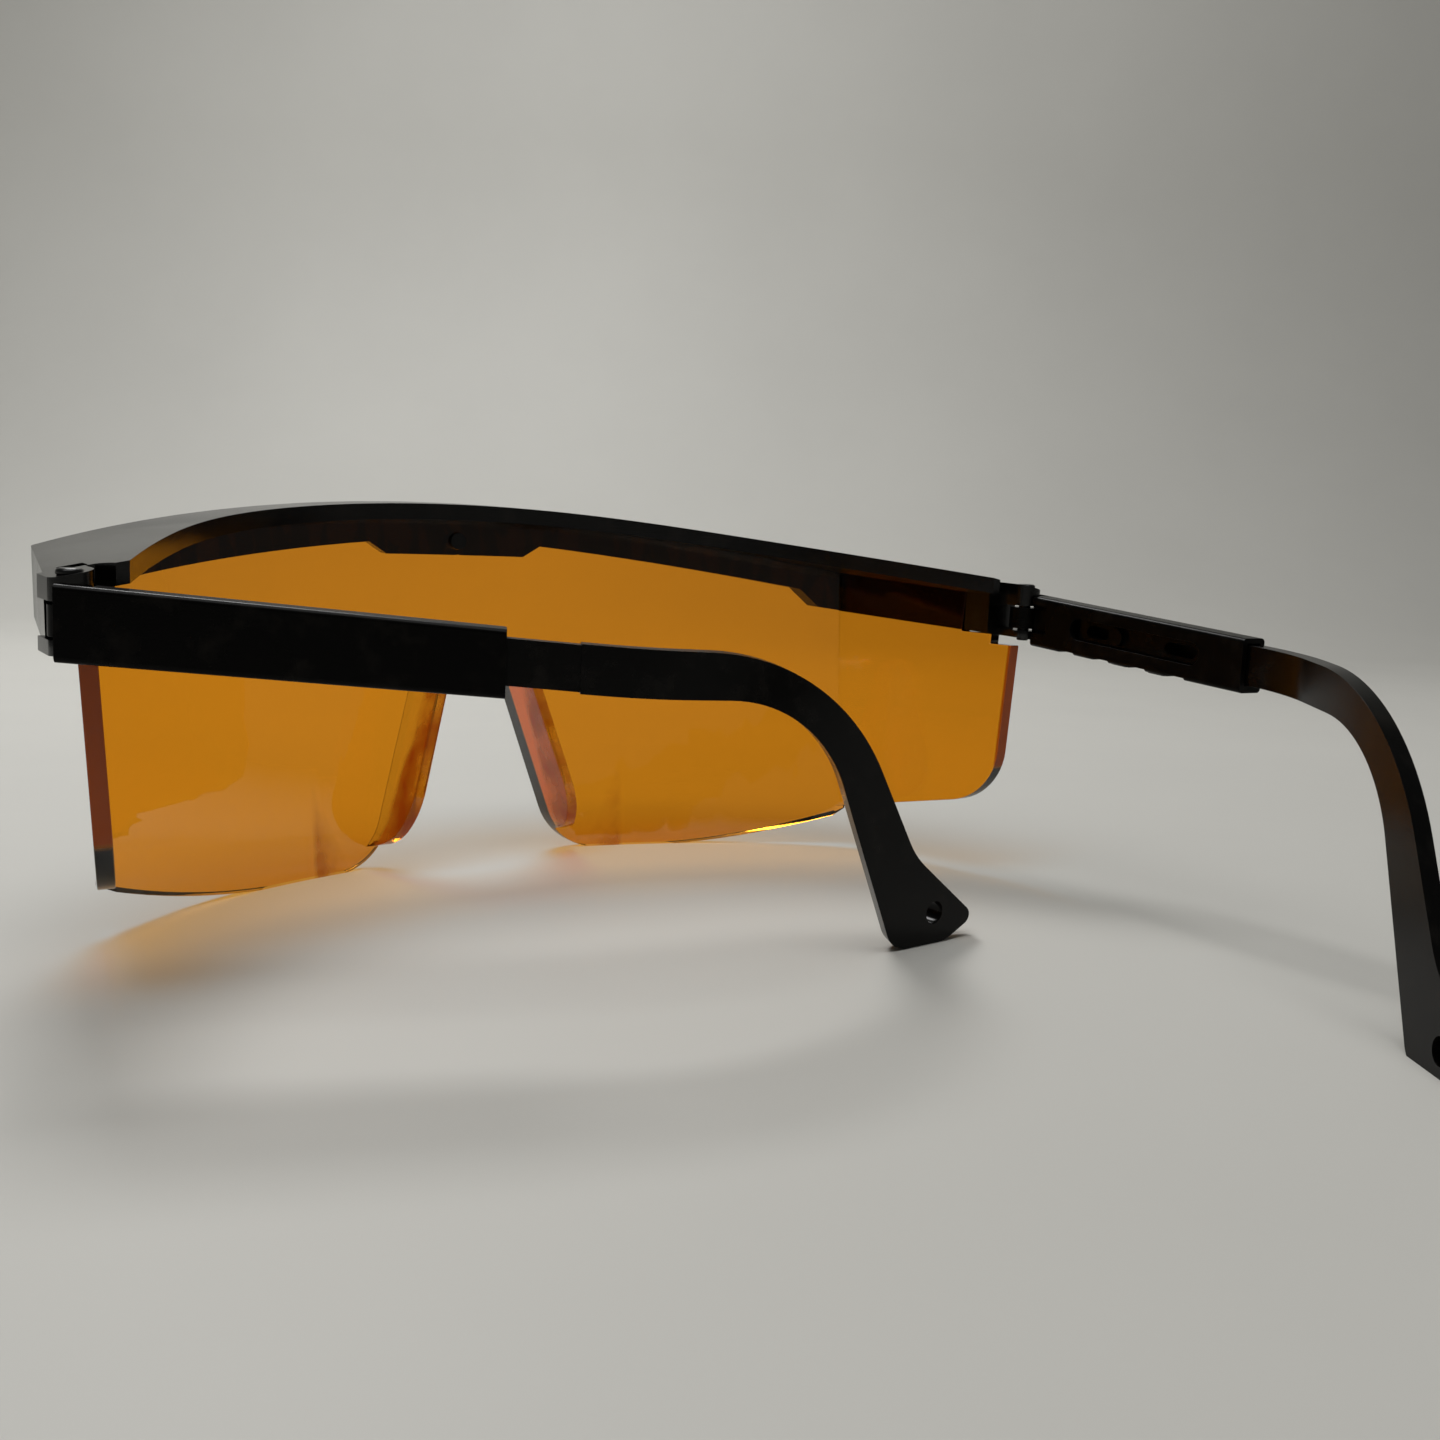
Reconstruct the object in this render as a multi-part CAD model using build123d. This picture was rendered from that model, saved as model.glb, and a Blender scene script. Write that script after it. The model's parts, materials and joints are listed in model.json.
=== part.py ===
from build123d import *
import os
from math import asin, atan, cos, hypot, radians, sin, tan

# Safety glasses: a one-piece wraparound lens with side shields and nose flanges, held in a brow frame,
# and two folding temples, each a sleeve on a hinge pin with an ear piece that slides in it.
# Drawn with the hinge line on y = 0 and heights from a level just under the ear pieces, called the
# table: +X is the wearer's left, -Y is the way the wearer looks, +Z is up along the hinge pins. The
# lens's foot hangs a little below that level. The files are moved so that the top of the nose arch is
# the origin.

# ---- the front as a whole ----
HINGE_SPAN = 140.0         # from pin to pin
FRONT_REACH = 58.5         # from the pins forward to the middle of the lens, at brow level
BROW_LEVEL = 45.0          # height at which the front's plan is drawn
BROW_HEIGHT = 53.9         # top of the brow above the table, in the middle
FRONT_LEAN = 7.0           # degrees that the front leans out at the top
TEMPLE_SLOPE = 3.44        # degrees that the temples fall towards the ears
BROW_SLOPE = 1.0           # degrees that the top of the brow falls towards the hinges

# ---- lens ----
LENS_THICKNESS = 1.9
CREASE_INSET = 7.6         # the crease between front and side shield, inwards of the pins
CREASE_DEPTH = 23.5        # the crease, back from the middle of the lens
SHIELD_FLARE = 0.0         # the shield's rear edge, outwards of the pins
LOWER_INSET = 3.0          # how much narrower the lens is at its foot than at brow level
FOOT_LEVEL = -2.1          # the lens reaches a little below the level of the ear pieces
FOOT_START = 29.0          # the flat foot ends here, sideways from the middle
FOOT_RISE = 5.6            # the lower edge at the crease
SHIELD_CORNER = 12.0       # height of the shield's lower rear corner
SHIELD_CORNER_RADIUS = 9.0
SHIELD_TOP = 36.1          # top of the shield under the hinge
SHIELD_STEP = 9.0          # the shield is cut down under the hinge from here back
SHIELD_TAIL = 1.5          # how much higher it stays under the brow's solid end

# ---- nose arch and its flanges ----
ARCH_HEIGHT = 31.0         # top of the nose arch
ARCH_RADIUS = 7.7
ARCH_FOOT = 15.7           # half width of the arch at FOOT_LEVEL, before its corners are rounded
ARCH_CORNER_RADIUS = 9.5
FLANGE_THICKNESS = 1.7
FLANGE_DEPTH = 11.5        # how far the flanges stand back from the lens
FLANGE_TOP_DEPTH = 9.5
FLANGE_FOOT = 1.0
FLANGE_CORNER = 4.0
FLANGE_CORNER_RADIUS = 8.0
FLANGE_CROWN = 5.0         # the flanges' rear edge is drawn on this far above the arch

# ---- brow frame ----
WALL = 2.4                 # front wall of the brow, ahead of the lens
SHELF = 2.4                # thickness of the top shelf
SHELF_LIP = 2.4            # shelf behind the lens, in the middle
LENS_GROOVE = 1.2          # how far the lens reaches up into the shelf
CORNER_INSET = 3.0         # brow corner, inwards of the pins
CORNER_DEPTH = 24.5        # brow corner, back from the middle of the lens
CORNER_RADIUS = 2.0
SIDE_FLARE = 2.4           # brow side at the hinge, outwards of the pins
BROW_BOW = 11.2            # how much lower the top is at BROW_BOW_SIDE
BROW_BOW_REACH = 15.0      # BROW_BOW_SIDE is this far past the pins
SHELF_WAIST = (38.0, 11.0)     # shelf edge: distance from the middle, and back from SHELF_LIP there
SHELF_ELBOW = (55.0, 34.0)
SHELF_END = 5.5            # shelf edge at the hinge, inwards of the pins
WALL_DROP = 6.4            # height of the front wall, in the middle
TAB_DROP = 1.8             # centre tab below the wall
TAB_HALF = 12.0
TAB_CHAMFER = 3.0
WALL_END = 56.5            # the low wall ends here, sideways
WALL_END_DROP = 11.4       # lower edge of the wall at WALL_END, below the top in the middle
SIDE_DROP = 14.3           # lower edge of the side wall, below the top in the middle
SIDE_TAPER = 3.7
SIDE_CHAMFER = 2.5
WALL_RUN_OUT = 20.0        # the side's lower edge is drawn on past the pin
WALL_BOW = 0.4             # how far the wall's lower edge bows up between the tab and WALL_END
PEG_RADIUS = 1.3           # locating peg on the tab, through the lens
PEG_PROUD = 0.5
PEG_DROP = 5.9             # peg below the top of the brow

# ---- hinges ----
PIN_RADIUS = 0.9
PIN_HEAD_RADIUS = 1.4
PIN_HEAD = 0.7
PIN_SEAT = 0.2             # how far the head is let into the upper ear
PIN_HEAD_ROUND = 0.42
LOWER_EAR = 1.6            # depth of the pin in the lower ear
RUNNING = 0.05             # radial clearance of the pin in the temple's knuckle
GAP = 0.35                 # between parts that move past each other
EAR_RADIUS = 2.2
EAR_REACH = 3.6            # from the pin forward to the brow's solid end
HINGE_BLOCK = 8.6          # front of the solid end, forward of the pin
BLOCK_INSET = 4.2          # inner face of the solid end, inwards of the pin
KNUCKLE = 3.2              # height of the temple's knuckle
KNUCKLE_LEVEL = 40.5       # middle of the knuckle above the table
SLOT_WIDTH = 2.6           # mould slot in the shelf ahead of the pin
SLOT_LENGTH = 2.7
SLOT_SETBACK = 0.2         # wall left behind the slot
SHELF_REAR = 1.2           # the shelf ends this far ahead of the pins
SWEEP_ROOM = 1.4           # room round the temple's outer face where it swings past the shelf

# ---- temple sleeve ----
SLEEVE_LENGTH = 43.3       # from the pin back to the sleeve's end
SLEEVE_FRONT = 0.8         # the outer cheek reaches this far ahead of the pin
SLEEVE_HEIGHT = 7.8        # at the front
SLEEVE_END_HEIGHT = 7.3
SLEEVE_OUTER = 3.4         # outer face, outwards of the pin
SLEEVE_WALL = 0.85
SLEEVE_SOLID = 8.5         # the channel starts here
POCKET_END = 5.8
CHANNEL_LIFT = 0.15        # channel above the middle of the sleeve
SLEEVE_DROP = 0.15         # middle of the sleeve's front below the middle of the knuckle
POCKET_OUTER = 0.4         # the pocket for the ears opens inwards from here, outwards of the pin
POCKET_ROOM = 0.2          # the pocket is this much higher than the knuckle and its gaps, each way
WEB_INNER = 0.3            # inner face of the web that carries the knuckle, outwards of the pin
WEB_BITE = 0.2             # how far the web runs into the outer cheek
WINDOW_FRONT = 11.0
WINDOW_HEIGHT = 3.2
NOTCH_COUNT = 4
NOTCH_START = 8.6
NOTCH_LENGTH = 3.4
NOTCH_DEPTH = 0.35
EDGE = 0.6                 # rounding of the sleeve's long edges

# ---- ear piece ----
BAR_HEIGHT = 5.0
BAR_THICKNESS = 1.8
SLIDE_GAP = 0.3            # between the bar and the sleeve, all round
CLICK = 7.2                # distance between two length settings
CLICKS = 2                 # settings beyond the shortest
NIB_FIRST = 20.0           # nib behind the pin at the shortest setting
NIB_RADIUS = 1.3
NIB_PROUD = 0.8
NIB_BITE = 0.2             # how far the nib runs into the bar
BAR_NOSE = 8.0             # bar ahead of the nib
TONGUE_SLOTS = ((-6.5, 4.6), (8.8, 5.7))   # start from the nib, and length
TONGUE_SLOT_HEIGHT = 1.7
EAR_HEIGHT = 5.3
EAR_THICKNESS = 2.6
EAR_START = 43.9           # the thick part starts here at the shortest setting
BOW_START = 50.3           # where the ear piece turns inwards
BOW_ANGLE = 30.0
BOW_RADIUS = 22.0
BEND_OUTER = (74.9, 29.0)  # corner of the upper edge behind the pin, and its radius
BEND_INNER = (72.6, 18.0)
OUTER_ANGLE = 62.0         # fall of the upper edge past the bend
INNER_ANGLE = 68.0
NECK_DROP = 25.8           # from the upper corner down to the flare of the paddle
HEEL = (99.1, 3.6)         # rear point of the paddle, behind the pin and above the table
SOLE = 94.3                # start of the heel's rise
SOLE_LEVEL = 0.9           # underside of the paddle at the shortest setting
TOE_RADIUS = 3.5
SOLE_RADIUS = 5.0
HEEL_RADIUS = 1.3
NECK_RADIUS = 12.0
LANYARD_HOLE = (91.6, 5.0)     # behind the pin, above the table
LANYARD_RADIUS = 1.5

# ---- how the temples stand at rest ----
LEFT_FOLD = 63.0           # degrees folded in
RIGHT_FOLD = 6.0
LEFT_SETTING = 1           # length setting, counted from the shortest
RIGHT_SETTING = 0

PIN_X = HINGE_SPAN / 2
BROW_BOW_SIDE = PIN_X + BROW_BOW_REACH
FAR = 200.0                # longer than anything here
OVERRUN = 1.0              # cuts and joined pieces run on this far
SAME = 1e-6                # two places closer than this are one
LENGTHWISE = 0.9           # cosine above which an edge counts as running along the temple
LEAN = tan(radians(FRONT_LEAN))
FALL = tan(radians(TEMPLE_SLOPE))
BROW_FALL = tan(radians(BROW_SLOPE))
WINDOW_REAR = NIB_FIRST + CLICKS * CLICK + NIB_RADIUS + SLIDE_GAP
FIRST_LEVEL = -4.0         # the front's blanks run between these heights
LAST_LEVEL = 60.0
PLAN_END = 30.0            # the front's plans are drawn this far past the pins


def lens_front_y(height):
    """The lens's front face in the middle, at a height."""
    return -FRONT_REACH + (BROW_LEVEL - height) * LEAN


def ridge_z(y):
    """The top of the brow in the middle, at a depth."""
    return BROW_HEIGHT - (y + FRONT_REACH + WALL) * BROW_FALL


def side_view(wire, half_width):
    """A closed outline in Y and Z, made solid across the middle."""
    return extrude(Plane.YZ * make_face(wire), amount=half_width, both=True)


def front_view(wire, fall=0.0):
    """A closed outline in X and Z, drawn at the brow's front and run back, falling as it goes."""
    start = -FRONT_REACH - WALL
    face = Plane.XZ * make_face(wire)
    run = FAR / 2
    moved = Pos(0, start - run, run * fall) * face
    return extrude(moved, amount=2 * run, dir=Vector(0, 1, -fall))


def lens_plan(height, inset):
    """Everything behind the lens's front face at a height, moved in by an inset."""
    part = (BROW_LEVEL - height) / BROW_LEVEL
    middle = lens_front_y(height)
    crease_x = PIN_X - CREASE_INSET - part * LOWER_INSET / 2
    rear_x = PIN_X + SHIELD_FLARE - part * LOWER_INSET
    crease_y = middle + CREASE_DEPTH
    reach = PLAN_END
    rear_x += (rear_x - crease_x) * reach / -crease_y
    arc = ThreePointArc((-crease_x, crease_y), (0, middle), (crease_x, crease_y))
    back = Polyline((crease_x, crease_y), (rear_x, reach), (-rear_x, reach), (-crease_x, crease_y))
    face = make_face(arc + back)
    if inset:
        face = offset(face, amount=-inset, kind=Kind.INTERSECTION)
    return Pos(0, 0, height) * face


def behind_lens(inset):
    return loft([lens_plan(FIRST_LEVEL, inset), lens_plan(LAST_LEVEL, inset)], ruled=True)


def nose_outline():
    """The nose cut-out, with its rounded lower corners, closed below the table."""
    centre = ARCH_HEIGHT - ARCH_RADIUS - FOOT_LEVEL
    lean = atan(ARCH_FOOT / centre) - asin(ARCH_RADIUS / hypot(ARCH_FOOT, centre))
    top = FOOT_LEVEL + ARCH_FOOT / tan(lean)
    run = 2 * ARCH_CORNER_RADIUS
    half = [(ARCH_FOOT, FOOT_LEVEL), (ARCH_FOOT + run, FOOT_LEVEL)]
    points = [(-x, z) for x, z in reversed(half)] + [(0, top)] + half
    radii = [ARCH_CORNER_RADIUS, ARCH_RADIUS, ARCH_CORNER_RADIUS]
    upper = FilletPolyline(*points, radius=radii)
    low = Polyline(points[-1], (points[-1][0], -FAR), (points[0][0], -FAR), points[0])
    return upper + low


def lower_cut():
    """Everything under the front's lower edge."""
    side = PIN_X - CREASE_INSET
    rise = FOOT_RISE - FOOT_LEVEL
    radius = ((side - FOOT_START) ** 2 + rise ** 2) / (2 * rise)
    half_way = (side - FOOT_START) / 2
    middle_z = FOOT_LEVEL + radius - (radius ** 2 - half_way ** 2) ** 0.5
    flat = [(-FOOT_START, FOOT_LEVEL), (FOOT_START, FOOT_LEVEL), (FOOT_START, -FAR), (-FOOT_START, -FAR)]
    cut = front_view(Polyline(*flat, close=True))
    for sign in (1, -1):
        start = (sign * FOOT_START, FOOT_LEVEL)
        end = (sign * side, FOOT_RISE)
        arc = ThreePointArc(start, (sign * (FOOT_START + half_way), middle_z), end)
        low = Polyline(end, (sign * side, -FAR), (sign * FOOT_START, -FAR), start)
        cut += front_view(arc + low)
    return cut


def shield_cut():
    """What is behind and under the side shields, and the room for the hinges above them."""
    crease_y = lens_front_y(0) + CREASE_DEPTH
    rear = FilletPolyline((crease_y, FOOT_RISE), (0, SHIELD_CORNER), (0, SHIELD_TOP),
                          radius=SHIELD_CORNER_RADIUS)
    tail = SHIELD_TOP + SHIELD_TAIL
    rest = Polyline((0, SHIELD_TOP), (-EAR_REACH, SHIELD_TOP), (-EAR_REACH, tail), (-SHIELD_STEP, tail),
                    (-SHIELD_STEP, FAR), (FAR, FAR), (FAR, -FAR), (crease_y, -FAR), (crease_y, FOOT_RISE))
    return side_view(rear + rest, FAR)


def under_brow(depth):
    """Everything under the arched top of the brow, less a depth."""
    side = BROW_BOW_SIDE
    arc = ThreePointArc((-side, BROW_HEIGHT - BROW_BOW - depth), (0, BROW_HEIGHT - depth),
                        (side, BROW_HEIGHT - BROW_BOW - depth))
    low = Polyline(arc @ 1, (side, -FAR), (-side, -FAR), arc @ 0)
    return front_view(arc + low, BROW_FALL)


def flanges():
    """The nose flanges, one arch that stands back from the lens and dies away at its feet."""
    cut = make_face(nose_outline())
    band = Plane.XZ * (offset(cut, amount=FLANGE_THICKNESS) - cut)
    band = Pos(0, FAR / 2, 0) * band
    arch = extrude(band, amount=FAR, dir=Vector(0, -1, 0))
    crown = ARCH_HEIGHT + FLANGE_CROWN
    rear = [(FLANGE_TOP_DEPTH, crown), (FLANGE_DEPTH, FLANGE_CORNER), (0, FLANGE_FOOT)]
    points = [(lens_front_y(z) + LENS_THICKNESS + depth, z) for depth, z in rear]
    edge = FilletPolyline(*points, radius=FLANGE_CORNER_RADIUS)
    front = [(-FRONT_REACH * 2, z) for z in (FLANGE_FOOT, crown)]
    profile = side_view(edge + Polyline(points[-1], front[0], front[1], points[0]), ARCH_FOOT * 2)
    return arch & profile & behind_lens(LENS_THICKNESS / 2)


def peg(proud):
    height = BROW_HEIGHT - PEG_DROP
    start = lens_front_y(height) - WALL / 2
    run = WALL / 2 + LENS_THICKNESS + proud
    return Pos(0, start, height) * Rot(-90, 0, 0) * Cylinder(
        PEG_RADIUS, run, align=(Align.CENTER, Align.CENTER, Align.MIN))


def lens():
    shell = behind_lens(0) - behind_lens(LENS_THICKNESS)
    shell = shell - lower_cut() - shield_cut()
    shell = shell & under_brow(SHELF - LENS_GROOVE)
    nose = front_view(nose_outline())
    return (shell + flanges() - nose) - peg(PEG_PROUD)


def brow_plan():
    """The brow's outer outline, made solid along the front's lean."""
    side = PIN_X - CORNER_INSET
    corner = -FRONT_REACH + CORNER_DEPTH
    arc = ThreePointArc((-side, corner), (0, -FRONT_REACH - WALL), (side, corner))
    ends = Polyline((side, corner), (PIN_X + SIDE_FLARE, 0), (-PIN_X - SIDE_FLARE, 0), (-side, corner))
    face = make_face(arc + ends)
    corners = [v for v in face.vertices() if abs(v.Y - corner) < SAME]
    face = fillet(corners, CORNER_RADIUS)
    moved = Pos(0, BROW_LEVEL * LEAN, 0) * face
    return extrude(moved, amount=FAR, dir=Vector(0, -sin(radians(FRONT_LEAN)), cos(radians(FRONT_LEAN))))


def shelf_room():
    """The room behind the shelf's inner edge."""
    middle = -FRONT_REACH + LENS_THICKNESS + SHELF_LIP
    half = [(SHELF_WAIST[0], middle + SHELF_WAIST[1]), (SHELF_ELBOW[0], middle + SHELF_ELBOW[1]),
            (PIN_X - SHELF_END, 0)]
    points = [(-x, y) for x, y in reversed(half)] + [(0, middle)] + half
    curve = Spline(*points)
    end = Polyline(points[-1], (PIN_X - SHELF_END, PLAN_END), (SHELF_END - PIN_X, PLAN_END), points[0])
    return extrude(make_face(curve + end), amount=FAR)


def wall_band():
    """The height of the front and side walls, seen from the front, with the centre tab."""
    low = BROW_HEIGHT - WALL_DROP
    tab = low - TAB_DROP
    end = (WALL_END, BROW_HEIGHT - WALL_END_DROP)
    step = (WALL_END + SIDE_CHAMFER, BROW_HEIGHT - SIDE_DROP)
    far = PIN_X + WALL_RUN_OUT
    drawn = Line((-TAB_HALF, tab), (TAB_HALF, tab))
    for sign in (1, -1):
        start = (sign * (TAB_HALF + TAB_CHAMFER), low)
        bow = ((start[0] + sign * end[0]) / 2, (start[1] + end[1]) / 2 + WALL_BOW)
        drawn += Line((sign * TAB_HALF, tab), start)
        drawn += ThreePointArc(start, bow, (sign * end[0], end[1]))
        drawn += Polyline((sign * end[0], end[1]), (sign * step[0], step[1]),
                          (sign * far, step[1] - SIDE_TAPER), (sign * far, FAR))
    drawn += Line((-far, FAR), (far, FAR))
    return front_view(drawn, BROW_FALL)


def ear_stock(sign, low, high):
    """One ear round a pin, joined to the brow's end."""
    round_end = Pos(sign * PIN_X, 0, low) * Cylinder(
        EAR_RADIUS, high - low, align=(Align.CENTER, Align.CENTER, Align.MIN))
    neck = Pos(sign * PIN_X, 0, low) * Box(
        2 * EAR_RADIUS, EAR_REACH + OVERRUN, high - low, align=(Align.CENTER, Align.MAX, Align.MIN))
    return round_end + neck


def solid_end(sign):
    """The solid end of the brow ahead of a hinge, before it is trimmed."""
    outer = PIN_X + SIDE_FLARE
    return Pos(sign * (PIN_X - BLOCK_INSET), -EAR_REACH, 0) * Box(
        outer - PIN_X + BLOCK_INSET, HINGE_BLOCK - EAR_REACH, BROW_HEIGHT,
        align=(Align.MIN if sign > 0 else Align.MAX, Align.MAX, Align.MIN))


def hinge_ears(sign):
    low, high = KNUCKLE_LEVEL - KNUCKLE / 2 - GAP, KNUCKLE_LEVEL + KNUCKLE / 2 + GAP
    return ear_stock(sign, 0, low) + ear_stock(sign, high, BROW_HEIGHT)


def behind(y):
    """Everything behind a depth."""
    return Pos(0, y, 0) * Box(2 * FAR, FAR, 2 * FAR, align=(Align.CENTER, Align.MIN, Align.CENTER))


def brow_frame(lens_solid):
    outline = brow_plan()
    band = wall_band() & under_brow(0)
    walls = outline - behind_lens(0) - behind(-EAR_REACH)
    shelf = (outline - shelf_room() - behind(-SHELF_REAR)) & (under_brow(0) - under_brow(SHELF))
    for sign in (1, -1):
        shelf -= Pos(sign * PIN_X, 0, 0) * Cylinder(SLEEVE_OUTER + SWEEP_ROOM, FAR)
    ends = (solid_end(1) + solid_end(-1)) & outline
    ears = hinge_ears(1) + hinge_ears(-1)
    frame = ((walls + ends + ears) & band) + shelf + peg(PEG_PROUD)
    for sign in (1, -1):
        slot_y = -EAR_REACH - SLOT_LENGTH / 2 - SLOT_SETBACK
        frame -= Pos(sign * (PIN_X - SLOT_WIDTH / 2), slot_y, KNUCKLE_LEVEL) * Box(
            SLOT_WIDTH, SLOT_LENGTH, FAR / 4, align=(Align.CENTER, Align.CENTER, Align.MIN))
        frame -= hinge_pin(sign)
    return frame - lens_solid


def hinge_pin(sign):
    top = ridge_z(0) - BROW_BOW * (PIN_X / BROW_BOW_SIDE) ** 2 - PIN_SEAT
    low = KNUCKLE_LEVEL - KNUCKLE / 2 - GAP - LOWER_EAR
    shank = Pos(sign * PIN_X, 0, low) * Cylinder(
        PIN_RADIUS, top - low + PIN_HEAD / 2, align=(Align.CENTER, Align.CENTER, Align.MIN))
    head = Pos(sign * PIN_X, 0, top) * Cylinder(
        PIN_HEAD_RADIUS, PIN_HEAD, align=(Align.CENTER, Align.CENTER, Align.MIN))
    head = fillet(head.edges().filter_by(GeomType.CIRCLE).sort_by(Axis.Z)[-1], PIN_HEAD_ROUND)
    return shank + head


def axis_z(back):
    """Height of the sleeve's middle line, a distance behind the pin."""
    return KNUCKLE_LEVEL - SLEEVE_DROP - back * FALL


def bar_z(back):
    return axis_z(back) + CHANNEL_LIFT


def along(back_1, back_2, height, inner, outer, lift=0.0):
    """A bar that follows the temple's fall: from and to behind the pin, and faces outwards of it."""
    points = [(back_1, axis_z(back_1) + lift - height / 2), (back_2, axis_z(back_2) + lift - height / 2),
              (back_2, axis_z(back_2) + lift + height / 2), (back_1, axis_z(back_1) + lift + height / 2)]
    face = Plane.YZ * make_face(Polyline(*points, close=True))
    return Pos(PIN_X + inner, 0, 0) * extrude(face, amount=outer - inner)


def temple_sleeve():
    """The left sleeve, open."""
    inner = SLEEVE_OUTER - BAR_THICKNESS - 2 * SLIDE_GAP - 2 * SLEEVE_WALL
    corners = [(-SLEEVE_FRONT, SLEEVE_HEIGHT), (SLEEVE_LENGTH, SLEEVE_END_HEIGHT)]
    points = [(back, axis_z(back) - height / 2) for back, height in corners]
    points += [(back, axis_z(back) + height / 2) for back, height in reversed(corners)]
    side = Plane.YZ * make_face(Polyline(*points, close=True))
    body = Pos(PIN_X + inner, 0, 0) * extrude(side, amount=SLEEVE_OUTER - inner)
    long_edges = [e for e in body.edges() if abs((e % 0.5).Y) > LENGTHWISE]
    body = fillet(long_edges, EDGE)
    room = Pos(PIN_X, 0, 0) * Cylinder(EAR_RADIUS + GAP, FAR)
    ahead = Pos(PIN_X + EAR_RADIUS + GAP, EAR_RADIUS + GAP, 0) * Box(
        FAR, FAR, FAR, align=(Align.MAX, Align.MAX, Align.CENTER))
    body = body - room - ahead
    knuckle = Pos(PIN_X, 0, KNUCKLE_LEVEL) * Cylinder(EAR_RADIUS, KNUCKLE)
    web_outer = EAR_RADIUS + GAP + WEB_BITE
    web = Pos(PIN_X + web_outer, 0, KNUCKLE_LEVEL) * Box(
        web_outer - WEB_INNER, POCKET_END, KNUCKLE, align=(Align.MAX, Align.MIN, Align.CENTER))
    pocket = Pos(PIN_X + POCKET_OUTER, 0, KNUCKLE_LEVEL) * Box(
        FAR / 4, POCKET_END, KNUCKLE + 2 * (GAP + POCKET_ROOM),
        align=(Align.MAX, Align.MIN, Align.CENTER))
    body = body - pocket + knuckle + web
    bore = Pos(PIN_X, 0, 0) * Cylinder(PIN_RADIUS + RUNNING, FAR)
    low = inner + SLEEVE_WALL
    channel = along(SLEEVE_SOLID, SLEEVE_LENGTH + OVERRUN, BAR_HEIGHT + 2 * SLIDE_GAP, low,
                    SLEEVE_OUTER - SLEEVE_WALL, CHANNEL_LIFT)
    middle = (WINDOW_FRONT + WINDOW_REAR) / 2
    window = Pos(PIN_X + inner, middle, bar_z(middle)) * Rot(-TEMPLE_SLOPE, 0, 0) * extrude(
        Plane.YZ * SlotOverall(WINDOW_REAR - WINDOW_FRONT, WINDOW_HEIGHT), amount=SLEEVE_WALL, both=True)
    body = body - bore - channel - window
    for index in range(NOTCH_COUNT):
        back = NOTCH_START + index * CLICK
        height = NOTCH_DEPTH * 2
        edge = SLEEVE_HEIGHT + (SLEEVE_END_HEIGHT - SLEEVE_HEIGHT) * back / SLEEVE_LENGTH
        body -= along(back, back + NOTCH_LENGTH, height, inner - OVERRUN, SLEEVE_OUTER / 2, -edge / 2)
    return body


def ear_outline():
    """The ear piece seen from the side, at the shortest setting: distance behind the pin, and height."""
    half = EAR_HEIGHT / 2
    start = EAR_START - OVERRUN
    outer = (BEND_OUTER[0], bar_z(BEND_OUTER[0]) + half)
    inner = (BEND_INNER[0], bar_z(BEND_INNER[0]) - half)
    toe = (inner[0] + (inner[1] - SOLE_LEVEL) / tan(radians(INNER_ANGLE)), SOLE_LEVEL)
    neck = (outer[0] + NECK_DROP / tan(radians(OUTER_ANGLE)), outer[1] - NECK_DROP)
    points = [(start, bar_z(start) - half), inner, toe, (SOLE, SOLE_LEVEL), HEEL, neck, outer,
              (start, bar_z(start) + half)]
    radii = [BEND_INNER[1], TOE_RADIUS, SOLE_RADIUS, HEEL_RADIUS, NECK_RADIUS, BEND_OUTER[1]]
    return FilletPolyline(*points, radius=radii) + Line(points[-1], points[0])


def bow_line():
    """The middle of the ear piece seen from above: outwards of the pin, and behind it."""
    inner = SLEEVE_OUTER - BAR_THICKNESS - 2 * SLIDE_GAP - 2 * SLEEVE_WALL
    middle = (SLEEVE_OUTER + inner) / 2
    run = FAR / 3
    end = (middle - run * sin(radians(BOW_ANGLE)), BOW_START + run * cos(radians(BOW_ANGLE)))
    return middle, [(middle, EAR_START - OVERRUN), (middle, BOW_START), end]


def bow_point(back):
    """A point on the straight part of the bow, and the direction across it."""
    middle, _ = bow_line()
    inwards = (back - BOW_START) * tan(radians(BOW_ANGLE))
    across = Vector(cos(radians(BOW_ANGLE)), sin(radians(BOW_ANGLE)), 0)
    return Vector(PIN_X + middle - inwards, back, 0), across


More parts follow.
